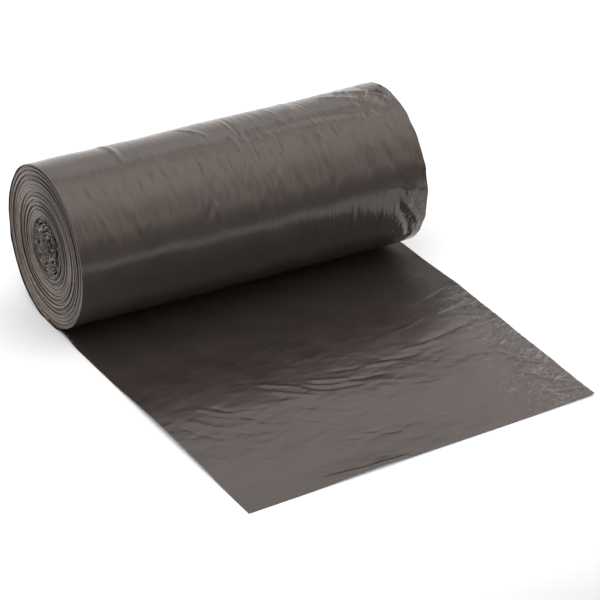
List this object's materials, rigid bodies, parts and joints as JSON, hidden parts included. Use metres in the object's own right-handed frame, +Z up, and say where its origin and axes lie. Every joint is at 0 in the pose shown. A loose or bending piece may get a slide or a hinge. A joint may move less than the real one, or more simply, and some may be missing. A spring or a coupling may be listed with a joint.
{
  "type": "bin bag roll",
  "caption": "Coreless roll of dark translucent bin bags lying on its side, with the end of the folded film drawn out flat in front of it.",
  "frame": {"origin": "on the floor under the roll's axis, half-way along the roll, where its flat spot rests", "axes": "+X along the roll, from the end that shows the turns; -Y the way the film is drawn out; +Z up"},
  "size_m": [0.256, 0.3232, 0.1087],
  "materials": {
    "film": "smoky, slightly translucent polythene film with a soft gloss and fine wrinkles"
  },
  "bodies": {
    "root": {"bag_roll": "film"}
  },
  "joints": []
}
